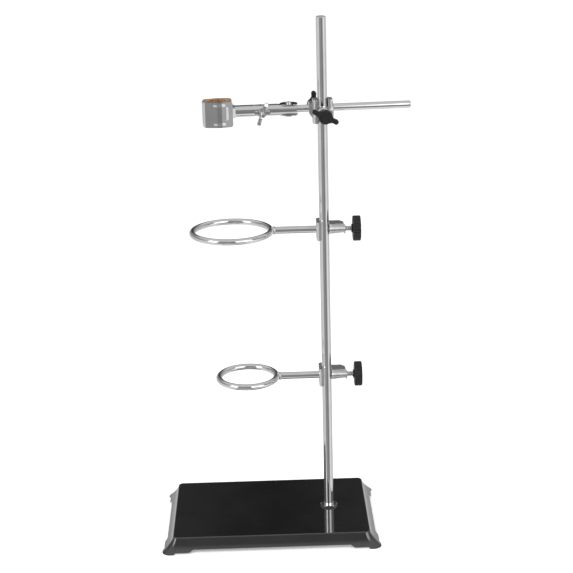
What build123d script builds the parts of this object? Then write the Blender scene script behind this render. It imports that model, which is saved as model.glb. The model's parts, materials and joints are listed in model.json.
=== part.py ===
"""Laboratory retort stand: pressed base, support rod, two ring clamps and a cross boss with a flask clamp.

Millimetres, +Z up. The origin is on the support rod's axis, in the plane that the feet stand on.
Each separate piece is written to its own STEP file in parts/.
"""
from build123d import *
import math
import os

# ---- base -------------------------------------------------------------------------------------
BASE_X = -60.0            # centre of the base; the rod stands 60 mm to its right
PLATE_LENGTH = 196.0      # flat top
PLATE_WIDTH = 126.0
FLARE_X = 11.0            # how far the skirt leans out at the floor
FLARE_Y = 8.0
BASE_HEIGHT = 14.8
SHEET = 1.5
CORNER_RADIUS = 5.0
FOOT_LENGTH = 28.0        # each corner foot, along both edges
TOE_LENGTH = 11.0         # the part of a foot that touches the floor
FOOT_LIFT = 1.6
SKIRT_LIFT = 4.0

# ---- support rod ------------------------------------------------------------------------------
ROD_RADIUS = 4.75
ROD_TOP = 514.5
STUD_RADIUS = 3.95        # threaded foot of the rod
STUD_END = 3.5
RUNNING = 0.05            # radial clearance of a turning shaft
SLIDING = 0.08            # radial clearance of a clamp on its rod
THIN_NUT_FLATS = 15.0
THIN_NUT_HEIGHT = 2.2
LOWER_NUT_FLATS = 13.0
LOWER_NUT_HEIGHT = 6.3
WASHER_RADIUS = 9.0
WASHER_HEIGHT = 1.5

# ---- ring clamps ------------------------------------------------------------------------------
RINGS = {
    "upper": {"z": 310.0, "reach": 90.0, "radius": 38.0},
    "lower": {"z": 159.0, "reach": 79.0, "radius": 28.7},
}
RING_WIRE = 3.0           # wire radius
ARM_RADIUS = 3.5
HOOK_TOP = 8.2            # above and below the arm's centre line
HOOK_BOTTOM = -10.4
HOOK_OUTER = 7.7
LIP_END = -3.4            # how far the hook's lip comes round the front of the rod
LUG_HALF_HEIGHT = 4.6
LUG_BACK = 15.5
LUG_END = 20.0
BARREL_RADIUS = 5.0       # the screw's barrel, at the rod and at its outer end
BARREL_END_RADIUS = 3.7
SCREW_RADIUS = 2.5
KNOB_RADIUS = 12.3
KNOB_START = 27.6
KNOB_WIDTH = 7.6

# ---- cross boss, in its own frame before it is swung round the rod ----------------------------
BOSS_Z = 426.0
BOSS_SWING = 4.0          # degrees about the support rod
CROSS_Y = 9.5             # centre line of the horizontal rod, behind the support rod
CROSS_Z = 427.0
CROSS_RADIUS = 3.5
CROSS_END = 86.0
BOSS_LEFT = -12.0
BOSS_RIGHT = 10.4
BOSS_FRONT_SCREW_Z = 424.5
BOSS_REAR_SCREW_X = -5.0
WING_HUB_RADIUS = 6.75
WING_REACH = 13.4
WING_WIDTH = 4.8
WING_DEPTH = 6.5
FRONT_WING_TILT = 27.0

# ---- flask clamp, same frame ------------------------------------------------------------------
PIVOT_X = -31.0
PIVOT_RADIUS = 1.5
ARM_RIGHT = -24.0
PIVOT_ZONE = -41.0        # left end of the widened part of the arms
ARM_LEFT = -85.5
WEB_OUT = 7.6             # outer face of each arm from the clamp's centre line
ARM_WALL = 1.2
FLANGE_IN = 3.0
ARM_HALF_HEIGHT = 5.1
ARM_CORNER = 4.9          # nearly half-round arms
EAR_INNER = 4.6           # the moving arm's ears lie outside the fixed arm's
EAR_OUTER = 5.6
EAR_RADIUS = 8.5
REAR_EAR_RADIUS = 4.0
REAR_HALF_HEIGHT = 4.5
BOLT_X = -57.0
BOLT_Z = -1.3
BOLT_RADIUS = 1.95
WASHER_RIM = 4.4          # radius of the washer and of the bolt head
BOLT_FRONT = -24.0        # bolt's free end from the clamp's centre line
SLOT_LENGTH = 15.0
SLOT_CENTRE = -56.5
SLOT_HEIGHT = 4.6
WING_NUT_REACH = 11.3
WING_NUT_TILT = 22.0
WING_NUT_EAR = 3.2        # thickness of its ears
JAW_LEFT = -113.0
JAW_RIGHT = -84.6
JAW_HALF_HEIGHT = 12.1
JAW_DROP = 1.1            # the jaws sit a little low on their arms
JAW_DEPTH = 12.0          # crease of each jaw from the centre line
JAW_EDGE = 9.4            # edge of each jaw beside the arm
JAW_LIP_X = -110.7        # where the free end turns back
JAW_LIP_EDGE = 4.6
CREASE_LEFT = -99.4
CREASE_RIGHT = -95.0
JAW_SHEET = 1.3
RIB_INSET = 3.2           # stiffening ribs, from the top and bottom edges
RIB_PROUD = 0.8
ROOT_LEFT = -91.0
ROOT_RIGHT = -82.0
CORK_THICKNESS = 3.0
CORK_FACE = 0.35          # half the gap between the closed corks


def rod_z(radius, z0, z1, x=0.0, y=0.0):
    """A vertical cylinder between two heights."""
    return Pos(x, y, (z0 + z1) / 2) * Cylinder(radius, z1 - z0)


def rod_x(radius, x0, x1, y=0.0, z=0.0):
    """A cylinder along X."""
    return Pos((x0 + x1) / 2, y, z) * Rot(0, 90, 0) * Cylinder(radius, x1 - x0)


def rod_y(radius, y0, y1, x=0.0, z=0.0):
    """A cylinder along Y."""
    return Pos(x, (y0 + y1) / 2, z) * Rot(90, 0, 0) * Cylinder(radius, y1 - y0)


def block(x0, x1, y0, y1, z0, z1):
    """A box between two corners."""
    return Pos((x0 + x1) / 2, (y0 + y1) / 2, (z0 + z1) / 2) * Box(x1 - x0, y1 - y0, z1 - z0)


def outline_z(points, z0, z1):
    """A plan outline raised between two heights."""
    return Pos(0, 0, z0) * extrude(make_face(Polyline(*points, close=True)), z1 - z0, dir=(0, 0, 1))


def write(name, shape):
    """Write one piece to its own STEP file."""
    export_step(shape, f"parts/{name}.step")


# ---- base -------------------------------------------------------------------------------------
def skirt_solid(inset, top, bottom):
    """The flared block: the skirt leans out more and more towards the floor."""
    sections = Sketch()
    levels = 5
    for i in range(levels):
        z = top + (bottom - top) * i / (levels - 1)
        lean = (1 - z / BASE_HEIGHT) ** 1.5
        length = PLATE_LENGTH - 2 * inset + 2 * FLARE_X * lean
        width = PLATE_WIDTH - 2 * inset + 2 * FLARE_Y * lean
        corner = CORNER_RADIUS - inset + 3.0 * lean
        sections += Pos(BASE_X, 0, z) * RectangleRounded(length, width, corner)
    return loft(sections)


def foot_gap(half_length):
    """Side view of what is cut away under one skirt, between the toes of its two feet."""
    toe = half_length - TOE_LENGTH
    foot = half_length - FOOT_LENGTH
    points = [
        (-toe, -1.0),
        (-toe + 2.0, FOOT_LIFT),
        (-foot - 1.0, FOOT_LIFT),
        (-foot + 3.0, SKIRT_LIFT),
        (foot - 3.0, SKIRT_LIFT),
        (foot + 1.0, FOOT_LIFT),
        (toe - 2.0, FOOT_LIFT),
        (toe, -1.0),
    ]
    return make_face(Polyline(*points, close=True))


def base_plate():
    half_length = PLATE_LENGTH / 2 + FLARE_X
    half_width = PLATE_WIDTH / 2 + FLARE_Y
    outer = skirt_solid(0.0, BASE_HEIGHT, 0.0)
    outer = fillet(outer.faces().sort_by(Axis.Z)[-1].edges(), 1.2)
    inner = skirt_solid(SHEET, BASE_HEIGHT - SHEET, 0.0)
    inner += Pos(BASE_X, 0, -1) * extrude(
        RectangleRounded(2 * half_length - 2 * SHEET, 2 * half_width - 2 * SHEET, CORNER_RADIUS), 1.0
    )
    along = Pos(BASE_X, 0, 0) * extrude(Plane.XZ * foot_gap(half_length), half_width + 5, both=True)
    across = Pos(BASE_X, 0, 0) * extrude(Plane.YZ * foot_gap(half_width), half_length + 5, both=True)
    plate = outer - inner - along - across
    return plate - rod_z(STUD_RADIUS + RUNNING, BASE_HEIGHT - 5, BASE_HEIGHT + 1)


def hex_nut(flats, z0, height, bore):
    """A hexagon nut with two corners along X and its top corners turned off."""
    corners = flats / math.sqrt(3)
    nut = Pos(0, 0, z0) * extrude(RegularPolygon(corners, 6), height)
    turned = Pos(0, 0, z0 + height / 2) * chamfer(
        Cylinder(corners, height).edges().filter_by(GeomType.CIRCLE), (corners - flats / 2) * 0.58
    )
    return (nut & turned) - rod_z(bore, z0 - 1, z0 + height + 1)


def support_rod():
    foot = BASE_HEIGHT + THIN_NUT_HEIGHT + 0.02
    rod = chamfer(rod_z(ROD_RADIUS, foot, ROD_TOP).edges().group_by(Axis.Z)[-1], 0.9)
    return rod + chamfer(rod_z(STUD_RADIUS, STUD_END, foot).edges().group_by(Axis.Z)[0], 0.7)


# ---- ring clamps ------------------------------------------------------------------------------
def ring(z, reach, radius):
    return Pos(-reach, 0, z) * Torus(radius, RING_WIRE)


def ring_arm(z, reach, radius):
    """The straight arm, coped round the ring's wire and spigoted into the clamp."""
    arm = rod_x(ARM_RADIUS, -reach + radius, -HOOK_OUTER, z=z)
    spigot = rod_x(2.4, -HOOK_OUTER, -HOOK_OUTER + 1.8, z=z)
    return arm + spigot - ring(z, reach, radius)


def ring_clamp(z):
    """The casting: a tall hook round the left of the rod, and a tapered barrel for the screw on the right."""
    hook = fillet(
        block(-HOOK_OUTER, 1.0, -HOOK_OUTER, LUG_BACK - 3, HOOK_BOTTOM, HOOK_TOP)
        .edges().filter_by(Axis.Z).group_by(Axis.X)[0], 3.2
    )
    hook -= block(LIP_END, 3.0, -HOOK_OUTER - 1, 0, HOOK_BOTTOM - 1, HOOK_TOP + 1)
    hook = fillet(hook.edges().group_by(Axis.Z)[0], 1.0)
    lug_plan = [
        (-2.0, 5.5),
        (-2.0, LUG_BACK),
        (LUG_END - 4.5, LUG_BACK),
        (LUG_END - 0.6, LUG_BACK - 5.0),
        (LUG_END - 0.6, 0.0),
        (5.0, 0.0),
        (5.0, 5.5),
    ]
    lug = outline_z(lug_plan, -LUG_HALF_HEIGHT + 1.0, LUG_HALF_HEIGHT)
    lug = chamfer(lug.edges().group_by(Axis.Z)[-1], 0.9)
    length = LUG_END - 4.9
    barrel = Pos(4.9 + length / 2, 0, 0) * Rot(0, 90, 0) * Cone(BARREL_RADIUS, BARREL_END_RADIUS, length)
    collar = Pos(LUG_END - 0.3, 0, -0.5) * Rot(0, 90, 0) * Cylinder(4.5, 1.5)
    collar = fillet(collar.edges().filter_by(GeomType.CIRCLE), 0.5)
    body = hook + lug + barrel + collar
    body -= rod_z(ROD_RADIUS + SLIDING, -20, 20)
    body -= block(LIP_END, ROD_RADIUS + SLIDING, -20, 0, -20, 20)
    body -= rod_x(SCREW_RADIUS + RUNNING, 0, LUG_END + 5)
    body -= rod_x(2.42, -HOOK_OUTER - 1, -HOOK_OUTER + 1.82)
    body -= rod_z(0.9, HOOK_TOP - 2.5, HOOK_TOP + 1, x=-6.0, y=-4.6)
    return Pos(0, 0, z) * body


def thumbscrew(z):
    """The screw, from its tip against the rod to its end inside the knob."""
    tip = ROD_RADIUS + 0.06
    screw = rod_x(SCREW_RADIUS, tip, KNOB_START + 5.0, z=z)
    return chamfer(screw.edges().group_by(Axis.X)[0], 0.6)


def knob(z):
    """A round knob with a low hub, moulded on the screw's end."""
    disc = rod_x(KNOB_RADIUS, KNOB_START, KNOB_START + KNOB_WIDTH)
    disc = fillet(disc.edges().filter_by(GeomType.CIRCLE), 1.0)
    flutes = 24
    for i in range(flutes):
        angle = 360.0 * i / flutes
        disc -= Rot(angle, 0, 0) * rod_x(0.9, KNOB_START - 1, KNOB_START + KNOB_WIDTH + 1, y=KNOB_RADIUS + 0.5)
    hub = rod_x(4.2, KNOB_START - 1.3, KNOB_START + 1)
    body = disc + hub - rod_x(SCREW_RADIUS, KNOB_START - 2, KNOB_START + 5.0)
    return Pos(0, 0, z) * body


# ---- cross boss -------------------------------------------------------------------------------
def swung(shape):
    """Swing a piece of the upper set round the support rod."""
    return Rot(0, 0, BOSS_SWING) * shape


def boss():
    """Casting with two crossed channels: the support rod in front, the horizontal rod behind."""
    low, high = BOSS_Z - 11.5, BOSS_Z + 11.5
    upright = block(-9.0, 9.5, -6.5, 7.0, low, high)
    upright = fillet(upright.edges().filter_by(Axis.Z), 2.5)
    upright -= block(-4.83, 4.83, -20, 0, BOSS_Z + 4.5, high + 1)
    upright -= block(-4.83, 4.83, -20, 0, low - 1, BOSS_Z - 8.0)
    right = rod_x(9.0, 4.9, BOSS_RIGHT, y=2.0, z=BOSS_Z)
    right = fillet(right.edges().filter_by(GeomType.CIRCLE), 1.6)
    barrel_profile = [
        (BOSS_LEFT, BOSS_Z + 7.0),
        (BOSS_RIGHT - 1.5, BOSS_Z + 7.0),
        (BOSS_RIGHT - 1.5, BOSS_Z - 6.0),
        (-8.0, BOSS_Z - 9.0),
        (BOSS_LEFT, BOSS_Z - 3.0),
    ]
    barrel = Pos(0, 15.5, 0) * extrude(Plane.XZ * make_face(Polyline(*barrel_profile, close=True)), 12.5)
    barrel = fillet(barrel.edges().filter_by(Axis.Y), 1.5)
    collar = rod_y(5.6, -10.0, -4.0, z=BOSS_FRONT_SCREW_Z)
    collar = chamfer(collar.edges().group_by(Axis.Y)[0], 0.8)
    body = upright + right + barrel + collar
    body -= rod_z(ROD_RADIUS + SLIDING, low - 5, high + 5)
    body -= rod_x(CROSS_RADIUS + SLIDING, BOSS_LEFT - 5, BOSS_RIGHT + 5, y=CROSS_Y, z=CROSS_Z)
    body -= rod_y(SCREW_RADIUS + RUNNING, -20, 0, z=BOSS_FRONT_SCREW_Z)
    body -= rod_y(SCREW_RADIUS + RUNNING, CROSS_Y, 20, x=BOSS_REAR_SCREW_X, z=CROSS_Z)
    return body


def wing_head(y0, tilt, x, z):
    """A moulded wing head on an axis along Y: a round hub with two blunt wings."""
    hub = rod_y(WING_HUB_RADIUS, y0, y0 + WING_DEPTH)
    hub = fillet(hub.edges().filter_by(GeomType.CIRCLE), 1.2)
    tip = WING_REACH - WING_WIDTH / 2
    plan = Sketch() + Rectangle(2 * tip, WING_WIDTH - 0.3)
    for side in (-1, 1):
        plan += Pos(side * tip, 0) * Circle(WING_WIDTH / 2)
        neck = [(side * 4.5, 4.6), (side * 8.6, 1.6), (side * 8.6, -1.6), (side * 4.5, -4.6)]
        plan += make_face(Polyline(*neck, close=True))
    wing = Pos(0, y0 + WING_DEPTH - 0.8, 0) * extrude(Plane.XZ * plan, WING_DEPTH - 1.6)
    wing = fillet(wing.edges().group_by(Axis.Y)[0] + wing.edges().group_by(Axis.Y)[-1], 0.6)
    return Pos(x, 0, z) * Rot(0, tilt, 0) * (hub + wing)


def front_screw():
    screw = rod_y(SCREW_RADIUS, -25.5, -ROD_RADIUS - 0.06, z=BOSS_FRONT_SCREW_Z)
    return chamfer(screw.edges().group_by(Axis.Y)[-1], 0.6)


def front_wing():
    head = wing_head(-28.5, FRONT_WING_TILT, 0, BOSS_FRONT_SCREW_Z)
    neck = rod_y(4.0, -22.2, -19.5, z=BOSS_FRONT_SCREW_Z)
    return head + neck - front_screw()


def rear_screw():
    screw = rod_y(SCREW_RADIUS, CROSS_Y + CROSS_RADIUS + 0.06, 27.0, x=BOSS_REAR_SCREW_X, z=CROSS_Z)
    return chamfer(screw.edges().group_by(Axis.Y)[0], 0.6)


def rear_wing():
    head = wing_head(23.5, 90.0, BOSS_REAR_SCREW_X, CROSS_Z)
    neck = rod_y(4.0, 21.0, 23.7, x=BOSS_REAR_SCREW_X, z=CROSS_Z)
    return head + neck - rear_screw()


# ---- flask clamp ------------------------------------------------------------------------------
# Built about its own centre line (y = 0, z = 0) and then moved to the horizontal rod.
def placed(shape):
    return swung(Pos(0, CROSS_Y, CROSS_Z) * shape)


def channel(x0, x1, wall, side, flange):
    """A pressed half-round channel along X, bulging outwards, open towards the other arm."""
    outer = RectangleRounded(2 * WEB_OUT, 2 * ARM_HALF_HEIGHT, ARM_CORNER)
    inner = RectangleRounded(2 * WEB_OUT - 2 * wall, 2 * ARM_HALF_HEIGHT - 2 * wall, ARM_CORNER - wall)
    tube = extrude(Plane.YZ * (outer - inner), x1 - x0)
    near, far = sorted((side * flange, side * (WEB_OUT + 1)))
    return Pos(x0, 0, 0) * (tube & block(0, x1 - x0, near, far, -20, 20))


def jaw_block(side, shrink):
    """The space inside a jaw's outline, taken in by the sheet's thickness times shrink."""
    taken = shrink * JAW_SHEET
    plan = [
        (JAW_LEFT + taken, side * -1.0),
        (JAW_LEFT + taken, side * JAW_LIP_EDGE),
        (JAW_LIP_X + 0.6 * taken, side * (facet_y(JAW_LIP_X) - 1.06 * taken)),
        (CREASE_LEFT, side * (JAW_DEPTH - 1.06 * taken)),
        (CREASE_RIGHT, side * (JAW_DEPTH - 1.06 * taken)),
        (JAW_RIGHT + shrink, side * (facet_y(JAW_RIGHT + shrink) - 1.06 * taken)),
        (JAW_RIGHT + shrink, side * -1.0),
    ]
    return plan


def facet_y(x):
    """Distance of the outer facets from the clamp's centre line at x."""
    slope = (JAW_DEPTH - JAW_EDGE) / (JAW_RIGHT - CREASE_RIGHT)
    if x > CREASE_RIGHT:
        return JAW_DEPTH - slope * (x - CREASE_RIGHT)
    return JAW_DEPTH - slope * max(CREASE_LEFT - x, 0.0)


def jaw_plate(side):
    """The pressed V-shaped jaw: two facets and a crease strip, a turned-back free end and two ribs."""
    low, high = -JAW_DROP - JAW_HALF_HEIGHT, -JAW_DROP + JAW_HALF_HEIGHT
    shell = outline_z(jaw_block(side, 0), low, high)
    near, far = sorted((side * JAW_LIP_EDGE * 0.55, side * 20.0))
    face = Pos((JAW_LEFT + JAW_RIGHT) / 2, 0, -JAW_DROP) * (
        Plane.XZ * RectangleRounded(JAW_RIGHT - JAW_LEFT, 2 * JAW_HALF_HEIGHT, 2.0)
    )
    shell = shell & extrude(face, 30, both=True)
    shell = shell & block(JAW_LEFT, JAW_RIGHT, near, far, -20, 20)
    for z in (low + RIB_INSET, high - RIB_INSET):
        shell += rib(side, z)
    return shell - outline_z(jaw_block(side, 1), -20, 20)


def rib(side, z):
    """A raised stiffening rib that follows the crease and dies out on the facets."""
    left, right = CREASE_LEFT - 5.0, CREASE_RIGHT + 5.0
    plan = [
        (left, side * (facet_y(left) - 0.4)),
        (CREASE_LEFT - 0.3, side * (JAW_DEPTH + RIB_PROUD)),
        (CREASE_RIGHT + 0.3, side * (JAW_DEPTH + RIB_PROUD)),
        (right, side * (facet_y(right) - 0.4)),
    ]
    bar = outline_z(plan, z - 1.0, z + 1.0)
    outer = bar.edges().filter_by(Axis.Z, reverse=True).sort_by(lambda edge: side * edge.center().Y)[-2:]
    return fillet(outer, 0.5)


def jaw_root(side):
    """The pressed fan where an arm spreads out over its jaw."""
    wide = Plane(origin=(ROOT_LEFT, side * 9.6, 0), x_dir=(0, 1, 0), z_dir=(1, 0, 0))
    slim = Plane(origin=(ROOT_RIGHT, side * 5.2, 0), x_dir=(0, 1, 0), z_dir=(1, 0, 0))
    sections = Sketch() + wide * RectangleRounded(3.6, 15.0, 1.7) + slim * RectangleRounded(4.8, 10.2, 2.3)
    return loft(sections)


def cork_plan(side):
    """Plan of a cork lining: it fills the jaw's back and has a V cut in its face."""
    gap = 0.02
    left, right = JAW_LEFT + JAW_SHEET + gap, JAW_RIGHT - 0.8
    skin = 1.06 * JAW_SHEET + gap
    lip_x = JAW_LIP_X + 0.6 * JAW_SHEET + gap
    return [
        (left, side * JAW_LIP_EDGE),
        (lip_x, side * (facet_y(JAW_LIP_X) - skin)),
        (CREASE_LEFT, side * (JAW_DEPTH - skin)),
        (CREASE_RIGHT, side * (JAW_DEPTH - skin)),
        (right, side * (facet_y(right) - skin)),
        (right, side * CORK_FACE),
        (right - 1.5, side * CORK_FACE),
        (CREASE_RIGHT - 0.8, side * (JAW_DEPTH - skin - CORK_THICKNESS)),
        (CREASE_LEFT + 0.8, side * (JAW_DEPTH - skin - CORK_THICKNESS)),
        (left + 1.5, side * CORK_FACE),
        (left, side * CORK_FACE),
    ]


def cork(side):
    height = JAW_HALF_HEIGHT - 0.4
    return outline_z(cork_plan(side), -JAW_DROP - height, -JAW_DROP + height)


def jaw_and_arm(side):
    """The jaw end of an arm: channel, fan and V-shaped plate, clear of the cork's space."""
    arm = channel(ARM_LEFT, PIVOT_ZONE, ARM_WALL, side, FLANGE_IN) + jaw_root(side)
    return arm - outline_z(jaw_block(side, 1), -20, 20) + jaw_plate(side)


def front_arm():
    """The moving arm: its ears lie outside the fixed arm's, and a slot clears the bolt."""
    body = jaw_and_arm(-1) + channel(PIVOT_ZONE, ARM_RIGHT, ARM_WALL, -1, REAR_EAR_RADIUS + 0.2)
    for z0 in (-EAR_OUTER, EAR_INNER):
        ear = rod_z(EAR_RADIUS, z0, z0 + EAR_OUTER - EAR_INNER, x=PIVOT_X)
        body += ear - rod_z(PIVOT_RADIUS + RUNNING, z0 - 1, z0 + 2, x=PIVOT_X)
    slot = Pos(SLOT_CENTRE, -WEB_OUT, BOLT_Z) * (Plane.XZ * SlotOverall(SLOT_LENGTH, SLOT_HEIGHT))
    return body - extrude(slot, 4, both=True)


def rear_arm():
    """The fixed arm, riveted to the horizontal rod."""
    zone = channel(PIVOT_ZONE, ARM_RIGHT, ARM_WALL, 1, FLANGE_IN)
    zone &= block(PIVOT_ZONE, ARM_RIGHT, 0, 20, -REAR_HALF_HEIGHT, REAR_HALF_HEIGHT)
    thick = REAR_HALF_HEIGHT - CROSS_RADIUS - 0.05
    for z0 in (-REAR_HALF_HEIGHT, CROSS_RADIUS + 0.05):
        zone += rod_z(REAR_EAR_RADIUS, z0, z0 + thick, x=PIVOT_X)
        zone += block(PIVOT_X - REAR_EAR_RADIUS, PIVOT_X + REAR_EAR_RADIUS, 0, 4.8, z0, z0 + thick)
    body = jaw_and_arm(1) + zone
    body -= rod_z(PIVOT_RADIUS, -9, 9, x=PIVOT_X)
    return body - rod_y(BOLT_RADIUS + 0.01, 0, WEB_OUT + 2, x=BOLT_X, z=BOLT_Z)


def clamp_rod():
    rod = rod_x(CROSS_RADIUS, PIVOT_X - 4.5, CROSS_END)
    rod = chamfer(rod.edges().group_by(Axis.X)[-1], 0.7)
    return rod - rod_z(PIVOT_RADIUS, -9, 9, x=PIVOT_X)


def pivot_rivet():
    top = EAR_OUTER + 0.05
    rivet = rod_z(PIVOT_RADIUS, -top, top, x=PIVOT_X)
    for sign in (-1, 1):
        head = rod_z(2.8, 0, 1.3, x=PIVOT_X)
        head = fillet(head.edges().group_by(Axis.Z)[-1], 0.9)
        rivet += Pos(0, 0, top) * head if sign > 0 else mirror(Pos(0, 0, top) * head, Plane.XY)
    return rivet


def clamp_bolt():
    """Round-headed bolt through the fixed arm; its thread runs on through the moving arm's slot."""
    shank = rod_y(BOLT_RADIUS, BOLT_FRONT, WEB_OUT + 1, x=BOLT_X, z=BOLT_Z)
    bolt = chamfer(shank.edges().group_by(Axis.Y)[0], 0.5)
    head = rod_y(WASHER_RIM, WEB_OUT, WEB_OUT + 2.4, x=BOLT_X, z=BOLT_Z)
    head = fillet(head.edges().group_by(Axis.Y)[-1], 1.8)
    return bolt + head


def nut_washer():
    face = -WEB_OUT - 0.05
    washer = rod_y(WASHER_RIM, face - 0.8, face, x=BOLT_X, z=BOLT_Z)
    return washer - rod_y(BOLT_RADIUS + RUNNING, face - 2, face + 1, x=BOLT_X, z=BOLT_Z)


def wing_nut():
    """A cast wing nut: a conical hub with two ears that rise away from the arm."""
    face = -WEB_OUT - 0.87
    hub = Pos(0, face - 2.4, 0) * Rot(90, 0, 0) * Cone(4.0, 3.1, 4.8)
    ear_side = [
        (0.0, face - 0.6),
        (6.0, face - 2.2),
        (WING_NUT_REACH, face - 5.2),
        (WING_NUT_REACH, face - 7.6),
        (8.2, face - 8.2),
        (4.4, face - 5.6),
        (0.0, face - 4.6),
    ]
    ear = extrude(make_face(Polyline(*ear_side, close=True)), WING_NUT_EAR / 2, both=True)
    ear = fillet(ear.edges().filter_by(Axis.Z).group_by(Axis.X)[-1], 1.0)
    ears = Rot(0, -90 + WING_NUT_TILT, 0) * (ear + mirror(ear, Plane.YZ))
    nut = hub + ears - rod_y(BOLT_RADIUS + RUNNING, face - 12, face + 1)
    return Pos(BOLT_X, 0, BOLT_Z) * nut


os.makedirs("parts", exist_ok=True)
write("base_plate", base_plate())
write("rod_nut", hex_nut(THIN_NUT_FLATS, BASE_HEIGHT, THIN_NUT_HEIGHT, STUD_RADIUS + RUNNING))
under = BASE_HEIGHT - SHEET
washer_blank = rod_z(WASHER_RADIUS, under - WASHER_HEIGHT, under)
write("base_washer", washer_blank - rod_z(STUD_RADIUS + RUNNING, 0, BASE_HEIGHT))
lower_nut_z = under - WASHER_HEIGHT - LOWER_NUT_HEIGHT
write("base_nut", hex_nut(LOWER_NUT_FLATS, lower_nut_z, LOWER_NUT_HEIGHT, STUD_RADIUS + RUNNING))
write("support_rod", support_rod())
for level, at in RINGS.items():
    write(f"{level}_ring", ring(at["z"], at["reach"], at["radius"]))
    write(f"{level}_ring_arm", ring_arm(at["z"], at["reach"], at["radius"]))
    write(f"{level}_clamp_casting", ring_clamp(at["z"]))
    write(f"{level}_thumbscrew", thumbscrew(at["z"]))
    write(f"{level}_knob", knob(at["z"]))
write("boss_casting", swung(boss()))
write("boss_front_screw", swung(front_screw()))
write("boss_front_wing", swung(front_wing()))
write("boss_rear_screw", swung(rear_screw()))
write("boss_rear_wing", swung(rear_wing()))
write("clamp_rod", placed(clamp_rod()))
write("rear_jaw_arm", placed(rear_arm()))
write("rear_cork", placed(cork(1)))
write("jaw_pivot_rivet", placed(pivot_rivet()))
write("clamp_bolt", placed(clamp_bolt()))
write("front_jaw_arm", placed(front_arm()))
write("front_cork", placed(cork(-1)))
write("nut_washer", placed(nut_washer()))
write("wing_nut", placed(wing_nut()))
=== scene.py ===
"""Looks of the laboratory retort stand: camera, studio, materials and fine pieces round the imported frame."""
import json
import math
import bpy
import bmesh
from mathutils import Matrix, Vector


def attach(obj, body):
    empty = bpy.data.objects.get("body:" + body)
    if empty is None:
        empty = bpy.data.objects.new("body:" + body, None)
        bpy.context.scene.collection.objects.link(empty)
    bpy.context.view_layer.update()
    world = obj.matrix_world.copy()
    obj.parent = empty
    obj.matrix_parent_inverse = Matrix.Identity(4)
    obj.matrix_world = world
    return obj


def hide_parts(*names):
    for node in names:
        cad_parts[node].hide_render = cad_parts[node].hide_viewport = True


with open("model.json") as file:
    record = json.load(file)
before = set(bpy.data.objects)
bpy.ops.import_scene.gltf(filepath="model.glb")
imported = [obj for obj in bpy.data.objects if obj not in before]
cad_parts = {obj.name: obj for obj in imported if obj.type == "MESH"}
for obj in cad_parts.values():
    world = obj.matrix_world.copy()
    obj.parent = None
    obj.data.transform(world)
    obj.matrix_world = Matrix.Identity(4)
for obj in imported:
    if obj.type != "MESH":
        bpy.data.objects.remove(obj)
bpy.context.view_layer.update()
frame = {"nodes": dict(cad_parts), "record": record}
MM = 0.001
nodes = frame["nodes"]
collection = bpy.context.scene.collection


# ---- camera ----------------------------------------------------------------------------------
CAMERA_AT = Vector((-0.0574, -1.3192, 0.6706))
CAMERA_YAW = math.radians(0.839)
CAMERA_PITCH = math.radians(17.58)
CAMERA_ROLL = math.radians(-1.471)
CAMERA_LENS = 88.5


def make_camera():
    """A camera that looks along +Y and down, turned by yaw and rolled about its own axis."""
    forward = Vector((
        math.sin(CAMERA_YAW) * math.cos(CAMERA_PITCH),
        math.cos(CAMERA_YAW) * math.cos(CAMERA_PITCH),
        -math.sin(CAMERA_PITCH),
    ))
    level = Vector((math.cos(CAMERA_YAW), -math.sin(CAMERA_YAW), 0))
    upright = level.cross(forward)
    right = math.cos(CAMERA_ROLL) * level + math.sin(CAMERA_ROLL) * upright
    up = math.cos(CAMERA_ROLL) * upright - math.sin(CAMERA_ROLL) * level
    data = bpy.data.cameras.new("camera")
    data.lens = CAMERA_LENS
    data.sensor_width = 36
    data.clip_start = 0.01
    data.clip_end = 50
    camera = bpy.data.objects.new("camera", data)
    turn = Matrix((right, up, -forward)).transposed().to_4x4()
    camera.matrix_world = Matrix.Translation(CAMERA_AT) @ turn
    collection.objects.link(camera)
    bpy.context.scene.camera = camera


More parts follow.
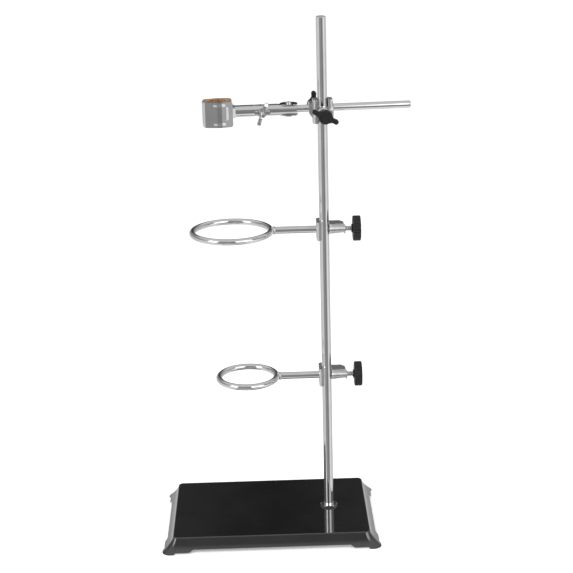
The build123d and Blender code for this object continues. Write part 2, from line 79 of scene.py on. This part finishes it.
# ---- node helpers ----------------------------------------------------------------------------
class Nodes:
    """Short calls for building a node tree."""

    def __init__(self, tree):
        self.tree = tree
        tree.nodes.clear()

    def add(self, kind, **values):
        node = self.tree.nodes.new(kind)
        for name, value in values.items():
            setattr(node, name, value)
        return node

    def link(self, a, b):
        self.tree.links.new(a, b)

    def math(self, operation, a, b=None):
        node = self.add("ShaderNodeMath", operation=operation)
        for socket, value in zip(node.inputs, (a, b)):
            if value is None:
                continue
            if isinstance(value, (int, float)):
                socket.default_value = value
            else:
                self.link(value, socket)
        return node.outputs[0]

    def ramp(self, factor, stops, interpolation="LINEAR"):
        node = self.add("ShaderNodeValToRGB")
        ramp = node.color_ramp
        ramp.interpolation = interpolation
        while len(ramp.elements) < len(stops):
            ramp.elements.new(0.5)
        for element, (position, value) in zip(ramp.elements, stops):
            element.position = position
            element.color = (*value, 1) if isinstance(value, tuple) else (value, value, value, 1)
        self.link(factor, node.inputs[0])
        return node.outputs[0]

    def mix(self, factor, a, b, blend="MIX"):
        node = self.add("ShaderNodeMix", data_type="RGBA", blend_type=blend)
        for socket, value in ((node.inputs[0], factor), (node.inputs[6], a), (node.inputs[7], b)):
            if isinstance(value, (int, float)):
                socket.default_value = value
            elif isinstance(value, tuple):
                socket.default_value = (*value, 1)
            else:
                self.link(value, socket)
        return node.outputs[2]

    def noise(self, vector, scale, detail=2.0, roughness=0.5):
        node = self.add("ShaderNodeTexNoise")
        node.inputs["Scale"].default_value = scale
        node.inputs["Detail"].default_value = detail
        node.inputs["Roughness"].default_value = roughness
        self.link(vector, node.inputs["Vector"])
        return node.outputs[0]

    def between(self, value, low, high):
        """Map 0..1 to low..high."""
        node = self.add("ShaderNodeMapRange")
        node.inputs["To Min"].default_value = low
        node.inputs["To Max"].default_value = high
        self.link(value, node.inputs["Value"])
        return node.outputs[0]

    def place(self, stretch=(1, 1, 1)):
        """Object coordinates, stretched along the axes."""
        coords = self.add("ShaderNodeTexCoord")
        mapping = self.add("ShaderNodeMapping")
        mapping.inputs["Scale"].default_value = stretch
        self.link(coords.outputs["Object"], mapping.inputs["Vector"])
        return mapping.outputs[0]


def surface(name, colour, metallic, roughness, bump, bump_size, **sockets):
    """A Principled material, with its tree, shader and unlinked bump node.

    colour and roughness are functions that build nodes.
    """
    material = bpy.data.materials.new(name)
    material.use_nodes = True
    tree = Nodes(material.node_tree)
    output = tree.add("ShaderNodeOutputMaterial")
    shader = tree.add("ShaderNodeBsdfPrincipled")
    tree.link(shader.outputs[0], output.inputs[0])
    shader.inputs["Metallic"].default_value = metallic
    for socket, value in sockets.items():
        shader.inputs[socket.replace("_", " ")].default_value = value
    tree.link(colour(tree), shader.inputs["Base Color"])
    tree.link(roughness(tree), shader.inputs["Roughness"])
    node = tree.add("ShaderNodeBump")
    node.inputs["Strength"].default_value = bump
    node.inputs["Distance"].default_value = bump_size
    return material, tree, shader, node


# ---- materials -------------------------------------------------------------------------------
def bright_chrome():
    """Nickel-chrome plate: almost a mirror, with faint draw lines and cloudy polish."""
    def colour(t):
        return t.ramp(t.noise(t.place(), 90), [(0.3, (0.77, 0.77, 0.78)), (0.7, (0.82, 0.82, 0.825))])

    def rough(t):
        return t.between(t.noise(t.place(), 160, 4), 0.05, 0.13)
    material, t, shader, bump = surface("bright_chrome", colour, 1.0, rough, 0.05, 0.00005)
    t.link(t.noise(t.place((900, 900, 60)), 4, 3), bump.inputs["Height"])
    t.link(bump.outputs[0], shader.inputs["Normal"])
    return material


def satin_casting():
    """Die casting with a satin plate: fine orange-peel and slightly brighter worn edges."""
    def colour(t):
        edges = t.add("ShaderNodeNewGeometry").outputs["Pointiness"]
        worn = t.ramp(edges, [(0.50, 0.0), (0.56, 1.0)])
        cloudy = t.ramp(t.noise(t.place(), 220, 4), [(0.3, (0.60, 0.60, 0.61)), (0.7, (0.70, 0.70, 0.705))])
        return t.mix(worn, cloudy, (0.80, 0.80, 0.80))

    def rough(t):
        return t.between(t.noise(t.place(), 500, 3), 0.26, 0.42)
    material, t, shader, bump = surface("satin_casting", colour, 1.0, rough, 0.16, 0.0002)
    t.link(t.noise(t.place(), 1500, 3, 0.6), bump.inputs["Height"])
    t.link(bump.outputs[0], shader.inputs["Normal"])
    return material


def zinc_plated():
    """Bright zinc plate on steel fasteners, with a faint warm and cool cast."""
    def colour(t):
        return t.ramp(t.noise(t.place(), 260, 3), [(0.35, (0.66, 0.67, 0.70)), (0.65, (0.76, 0.75, 0.71))])

    def rough(t):
        return t.between(t.noise(t.place(), 700, 3), 0.16, 0.32)
    material, t, shader, bump = surface("zinc_plated", colour, 1.0, rough, 0.1, 0.0001)
    t.link(t.noise(t.place(), 2200, 2), bump.inputs["Height"])
    t.link(bump.outputs[0], shader.inputs["Normal"])
    return material


def black_enamel():
    """Glossy stoved enamel: deep black under a clear coat with a very slight ripple and fine dust."""
    def colour(t):
        dust = t.ramp(t.noise(t.place(), 1800, 2), [(0.68, 0.0), (0.78, 1.0)])
        deep, pale = (0.006, 0.006, 0.0065), (0.010, 0.010, 0.0105)
        cloudy = t.ramp(t.noise(t.place(), 30, 3), [(0.3, deep), (0.7, pale)])
        return t.mix(dust, cloudy, (0.016, 0.016, 0.016))

    def rough(t):
        return t.between(t.noise(t.place(), 60, 4), 0.10, 0.20)
    material, t, shader, bump = surface(
        "black_enamel", colour, 0.0, rough, 0.03, 0.0002,
        Coat_Weight=1.0, Coat_Roughness=0.012, Coat_IOR=1.95, Specular_IOR_Level=0.15,
    )
    t.link(t.noise(t.place(), 220, 2), bump.inputs["Height"])
    t.link(bump.outputs[0], shader.inputs["Normal"])
    return material


def black_moulded():
    """Black thermoset moulding: dull sheen, fine grain, rubbed lighter along its edges."""
    def colour(t):
        edges = t.add("ShaderNodeNewGeometry").outputs["Pointiness"]
        worn = t.ramp(edges, [(0.53, 0.0), (0.62, 0.6)])
        deep, pale = (0.010, 0.010, 0.0105), (0.018, 0.018, 0.019)
        grain = t.ramp(t.noise(t.place(), 400, 3), [(0.3, deep), (0.7, pale)])
        return t.mix(worn, grain, (0.05, 0.05, 0.05))

    def rough(t):
        return t.between(t.noise(t.place(), 900, 3), 0.30, 0.46)
    material, t, shader, bump = surface(
        "black_moulded", colour, 0.0, rough, 0.15, 0.0001, Specular_IOR_Level=0.25,
    )
    t.link(t.noise(t.place(), 2600, 2), bump.inputs["Height"])
    t.link(bump.outputs[0], shader.inputs["Normal"])
    return material


def cork_sheet():
    """Fine-grained cork: granules of several browns with dark joints and pits."""
    def cells(t):
        node = t.add("ShaderNodeTexVoronoi", feature="F1")
        node.inputs["Scale"].default_value = 900
        t.link(t.place(), node.inputs["Vector"])
        return node

    def colour(t):
        voronoi = cells(t)
        tint = t.add("ShaderNodeSeparateColor")
        t.link(voronoi.outputs["Color"], tint.inputs[0])
        grains = t.ramp(tint.outputs[0], [
            (0.0, (0.20, 0.10, 0.045)), (0.45, (0.42, 0.25, 0.13)), (1.0, (0.58, 0.40, 0.24)),
        ])
        joints_between = t.ramp(voronoi.outputs["Distance"], [(0.45, 0.0), (0.75, 1.0)])
        return t.mix(joints_between, grains, (0.13, 0.065, 0.03))

    def rough(t):
        return t.between(t.noise(t.place(), 900), 0.78, 0.95)
    material, t, shader, bump = surface("cork_sheet", colour, 0.0, rough, 0.6, 0.0004)
    t.link(cells(t).outputs["Distance"], bump.inputs["Height"])
    t.link(bump.outputs[0], shader.inputs["Normal"])
    return material


MATERIALS = {make.__name__: make() for make in (
    bright_chrome, satin_casting, zinc_plated, black_enamel, black_moulded, cork_sheet,
)}


def dress_frame():
    """Give each CAD node its slot's material."""
    for part in frame["record"]["subparts"]:
        node = nodes[part["node"]]
        node.data.materials.clear()
        node.data.materials.append(MATERIALS[part["material_slot"]])


# ---- turned and threaded pieces, in millimetres ----------------------------------------------
SWING = math.radians(4.0)         # the boss and the flask clamp, about the support rod
CROSS = (9.5, 427.0)              # y and z of the horizontal rod before it is swung
RINGS = {
    "upper": {"z": 310.0, "reach": 90.0, "radius": 38.0},
    "lower": {"z": 159.0, "reach": 79.0, "radius": 28.7},
}
RING_WIRE = 3.0
ARM_RADIUS = 3.5                  # the ring arms, and the horizontal rod
ROD_RADIUS = 4.75
ROD_TOP = 514.5
ROD_FOOT = 17.02                  # where the support rod's shaft meets its threaded stud
STUD_RADIUS = 3.95
STUD_END = 3.5
STUD_PITCH = 1.25
SCREW_RADIUS = 2.5
SCREW_PITCH = 0.9
SCREW_GAP = 0.06                  # between a screw's tip and the rod that it presses on
BOLT_RADIUS = 1.95
BOLT_PITCH = 0.7
FRONT_SCREW_Z = 424.5
REAR_SCREW_X = -5.0
BOLT_X = -57.0
BOLT_Z = 425.7
BEAD_LENGTH = 2.6
SHARP = math.radians(32)
FINE = 0.12                       # spacing of the rows along a thread


def swung(x, y, z):
    """A point of the upper set, swung round the support rod."""
    return (x * math.cos(SWING) - y * math.sin(SWING), x * math.sin(SWING) + y * math.cos(SWING), z)


def skin(name, rows, closed_length, body, node, finish):
    """A smooth mesh over rows of points; the rows are closed round, and joined end to end or capped."""
    mesh = bpy.data.meshes.new(name)
    bm = bmesh.new()
    grid = [[bm.verts.new(Vector(point) * MM) for point in row] for row in rows]
    pairs = list(zip(grid, grid[1:]))
    if closed_length:
        pairs.append((grid[-1], grid[0]))
    else:
        bm.faces.new(grid[0])
        bm.faces.new(grid[-1])
    around = len(grid[0])
    for near, far in pairs:
        for i in range(around):
            j = (i + 1) % around
            bm.faces.new((near[i], near[j], far[j], far[i]))
    bmesh.ops.recalc_face_normals(bm, faces=bm.faces)
    bm.to_mesh(mesh)
    bm.free()
    mesh.shade_smooth()
    mesh.set_sharp_from_angle(angle=SHARP)
    piece = bpy.data.objects.new(name, mesh)
    collection.objects.link(piece)
    mesh.materials.append(MATERIALS[finish])
    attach(piece, body)
    if node:
        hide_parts(node)
    return piece


def turned(name, start, axis, stations, radius, body, node, finish, around=48):
    """A piece turned about an axis: radius is a function of the distance along it and the angle round it."""
    start, axis = Vector(start), Vector(axis).normalized()
    side = axis.orthogonal().normalized()
    other = axis.cross(side)
    rows = []
    for s in stations:
        row = []
        for i in range(around):
            angle = 2 * math.pi * i / around
            r = radius(s, angle)
            row.append(start + axis * s + (side * math.cos(angle) + other * math.sin(angle)) * r)
        rows.append(row)
    return skin(name, rows, False, body, node, finish)


def steps(a, b, size):
    """Evenly spaced distances from a to b, no more than size apart."""
    count = max(1, math.ceil((b - a) / size))
    return [a + (b - a) * i / count for i in range(count + 1)]


def thread(major, pitch, begin, end, chamfer_first=0.6):
    """Radius of a screw thread between two distances, fading out at both ends, plain elsewhere."""
    depth = 0.58 * pitch

    def radius(s, angle):
        fade = min(1.0, max(0.0, (s - begin) / pitch), max(0.0, (end - s) / pitch))
        crest = abs(2 * ((s / pitch - angle / (2 * math.pi)) % 1.0) - 1)
        crest = min(1.0, max(0.0, 1.25 * crest - 0.1))
        return major - depth * (1 - crest) * fade - max(0.0, chamfer_first - s)
    return radius


def make_support_rod():
    """The plain shaft with its chamfered top, on a threaded stud."""
    top_chamfer = 0.9
    plain_end = 3.5               # of the stud, below its thread
    cut = thread(STUD_RADIUS, STUD_PITCH, plain_end, ROD_FOOT - 0.6)

    def radius(s, angle):
        z = s + STUD_END
        if z < ROD_FOOT - 0.001:
            return min(cut(s, angle), STUD_RADIUS)
        return ROD_RADIUS - max(0.0, top_chamfer - (ROD_TOP - z))
    stud = steps(STUD_END, ROD_FOOT - 0.01, 0.16)
    shaft = steps(ROD_FOOT + 1, ROD_TOP - 0.95, 20)
    heights = [*stud, ROD_FOOT, ROD_FOOT + 0.4, *shaft, ROD_TOP - top_chamfer, ROD_TOP]
    turned("support_rod_look", (0, 0, STUD_END), (0, 0, 1), [z - STUD_END for z in heights], radius,
           "support_rod", "support_rod", "bright_chrome", 96)


def make_clamp_rod():
    """The flask clamp's horizontal rod, chamfered at its free end."""
    left, right = -35.5, 86.0
    length = right - left
    chamfer = 0.7

    def radius(s, angle):
        return ARM_RADIUS - max(0.0, chamfer - (length - s))
    stations = [*steps(0, length - 0.75, 8), length - chamfer, length]
    turned("clamp_rod_look", swung(left, *CROSS), swung(1, 0, 0), stations, radius,
           "flask_clamp", "clamp_rod", "bright_chrome", 96)


def make_rings():
    """Each ring, its arm, and the weld bead that joins them."""
    for level, ring in RINGS.items():
        body = f"{level}_ring_clamp"
        rows = []
        for i in range(240):
            turn = 2 * math.pi * i / 240
            row = []
            for k in range(48):
                tilt = 2 * math.pi * k / 48
                out = ring["radius"] + RING_WIRE * math.cos(tilt)
                row.append((out * math.cos(turn) - ring["reach"], out * math.sin(turn),
                            ring["z"] + RING_WIRE * math.sin(tilt)))
            rows.append(row)
        skin(f"{level}_ring_look", rows, True, body, f"{level}_ring", "bright_chrome")
        left = -ring["reach"] + ring["radius"]
        turned(f"{level}_ring_arm_look", (left + 0.4, 0, ring["z"]), (1, 0, 0),
               steps(0, -5.9 - left - 0.4, 8), lambda s, angle: ARM_RADIUS,
               body, f"{level}_ring_arm", "bright_chrome", 96)

        def bead(s, angle):
            lumps = 0.8 + 0.16 * math.cos(7 * angle) + 0.1 * math.cos(11 * angle + 1.0)
            return ARM_RADIUS - 0.05 + 0.75 * lumps * math.sin(math.pi * s / BEAD_LENGTH)
        turned(f"{level}_ring_weld", (left + RING_WIRE - 0.9, 0, ring["z"]), (1, 0, 0),
               steps(0, BEAD_LENGTH, 0.2), bead, body, None, "satin_casting", 64)


def make_screws():
    """Threads on the clamp and boss screws and on the flask clamp's bolt."""
    def screw(start, axis, length, thread_end, node):
        cut = thread(SCREW_RADIUS, SCREW_PITCH, 0.3, thread_end)
        turned(f"{node}_look", start, axis, steps(0, length, FINE), cut, node, node, "zinc_plated")
    tip = ROD_RADIUS + SCREW_GAP
    for level, ring in RINGS.items():
        screw((tip, 0, ring["z"]), (1, 0, 0), 27.79, 25.0, f"{level}_thumbscrew")
    screw(swung(0, -tip, FRONT_SCREW_Z), swung(0, -1, 0), 20.69, 19.0, "boss_front_screw")
    cross_tip = CROSS[0] + ARM_RADIUS + SCREW_GAP
    screw(swung(REAR_SCREW_X, cross_tip, CROSS[1]), swung(0, 1, 0), 13.94, 12.0, "boss_rear_screw")
    make_bolt()


def make_bolt():
    """The flask clamp's bolt: a threaded shank and a domed head behind the fixed arm."""
    shank = thread(BOLT_RADIUS, BOLT_PITCH, 0.2, 27.0, 0.5)
    length, end, dome = 31.6, 34.0, 1.8

    def bolt(s, angle):
        if s < length:
            return shank(s, angle)
        rise = max(0.0, s - (end - dome)) / dome
        return 2.6 + dome * math.sqrt(max(0.0, 1 - rise * rise))
    turned("clamp_bolt_look", swung(BOLT_X, CROSS[0] - 24.0, BOLT_Z), swung(0, 1, 0),
           steps(0, length - 0.01, 0.1) + steps(length, end, 0.2), bolt,
           "flask_clamp", "clamp_bolt", "zinc_plated")


# ---- studio ----------------------------------------------------------------------------------
def azimuth_stops(stops):
    """Stops given in degrees from the side that the camera stands on, positive towards +X."""
    return [((degrees + 180) / 360, value) for degrees, value in stops]


LOW_BANDS = [
    (-180, 0.62), (-150, 0.60), (-80, 0.70), (-62, 0.72), (-48, 0.66), (-38, 0.30), (-24, 0.28), (-10, 0.34),
    (8, 0.22), (20, 0.20), (33, 0.38), (40, 0.62), (58, 0.92), (72, 0.90), (88, 0.62), (105, 0.60),
    (180, 0.62),
]
HIGH_BANDS = [
    (-180, 0.02), (-150, 0.30), (-100, 0.30), (-68, 0.5), (-60, 3.4), (-42, 3.4), (-36, 0.32), (-5, 0.26),
    (10, 0.22), (16, 2.6), (32, 2.6), (38, 2.0), (56, 1.8), (62, 0.25), (100, 0.45), (140, 0.40), (180, 0.02),
]


def make_world():
    """White for the camera and for soft light; banded like a studio tent for mirror reflections."""
    world = bpy.data.worlds.new("studio")
    bpy.context.scene.world = world
    world.use_nodes = True
    t = Nodes(world.node_tree)
    output = t.add("ShaderNodeOutputWorld")
    background = t.add("ShaderNodeBackground")
    t.link(background.outputs[0], output.inputs[0])
    direction = t.add("ShaderNodeSeparateXYZ")
    t.link(t.add("ShaderNodeTexCoord").outputs["Generated"], direction.inputs[0])
    x, y, z = direction.outputs
    turn = t.math("ARCTAN2", x, t.math("MULTIPLY", y, -1.0))
    around = t.math("ADD", t.math("DIVIDE", turn, 2 * math.pi), 0.5)
    low = t.ramp(around, azimuth_stops(LOW_BANDS))
    high = t.ramp(around, azimuth_stops(HIGH_BANDS))
    height = t.math("ADD", t.math("MULTIPLY", z, 0.5), 0.5)
    tent = t.mix(t.ramp(height, [(0.50, 0.0), (0.56, 1.0)]), low, high)
    tent = t.mix(t.ramp(height, [(0.76, 0.0), (0.83, 1.0)]), tent, (0.64, 0.64, 0.64))
    tent = t.mix(t.ramp(height, [(0.12, 1.0), (0.22, 0.0)]), tent, (0.82, 0.82, 0.82))
    path = t.add("ShaderNodeLightPath")
    light = t.mix(path.outputs["Is Glossy Ray"], (0.78, 0.78, 0.78), tent)
    t.link(t.mix(path.outputs["Is Camera Ray"], light, (1.0, 1.0, 1.0)), background.inputs[0])


def make_floor():
    """A wide pale floor that mirrors don't see, so the tent's bands reach the polished rods."""
    bpy.ops.mesh.primitive_plane_add(size=24, location=(0, 0, 0))
    floor = bpy.context.object
    floor.name = "floor"
    material = bpy.data.materials.new("pale_floor")
    material.use_nodes = True
    t = Nodes(material.node_tree)
    output = t.add("ShaderNodeOutputMaterial")
    shader = t.add("ShaderNodeBsdfPrincipled")
    shader.inputs["Base Color"].default_value = (0.93, 0.93, 0.93, 1)
    shader.inputs["Roughness"].default_value = 0.9
    shader.inputs["Specular IOR Level"].default_value = 0.0
    shader.inputs["Emission Color"].default_value = (1, 1, 1, 1)
    shader.inputs["Emission Strength"].default_value = 0.3
    t.link(shader.outputs[0], output.inputs[0])
    floor.data.materials.append(material)
    floor.visible_glossy = False


def soft_light(name, at, aim, size, power):
    """A round soft light that mirrors don't see."""
    data = bpy.data.lights.new(name, "AREA")
    data.shape = "DISK"
    data.size = size
    data.energy = power
    lamp = bpy.data.objects.new(name, data)
    lamp.location = at
    lamp.rotation_euler = (Vector(aim) - Vector(at)).to_track_quat("-Z", "Y").to_euler()
    lamp.visible_glossy = False
    collection.objects.link(lamp)


make_camera()
make_world()
make_floor()
soft_light("key", (-1.2, -1.4, 1.8), (0, 0, 0.2), 1.2, 22)
soft_light("fill", (1.5, -0.9, 1.2), (0, 0, 0.25), 1.2, 8)
bpy.context.scene.view_settings.view_transform = "Standard"
dress_frame()
make_support_rod()
make_clamp_rod()
make_rings()
make_screws()
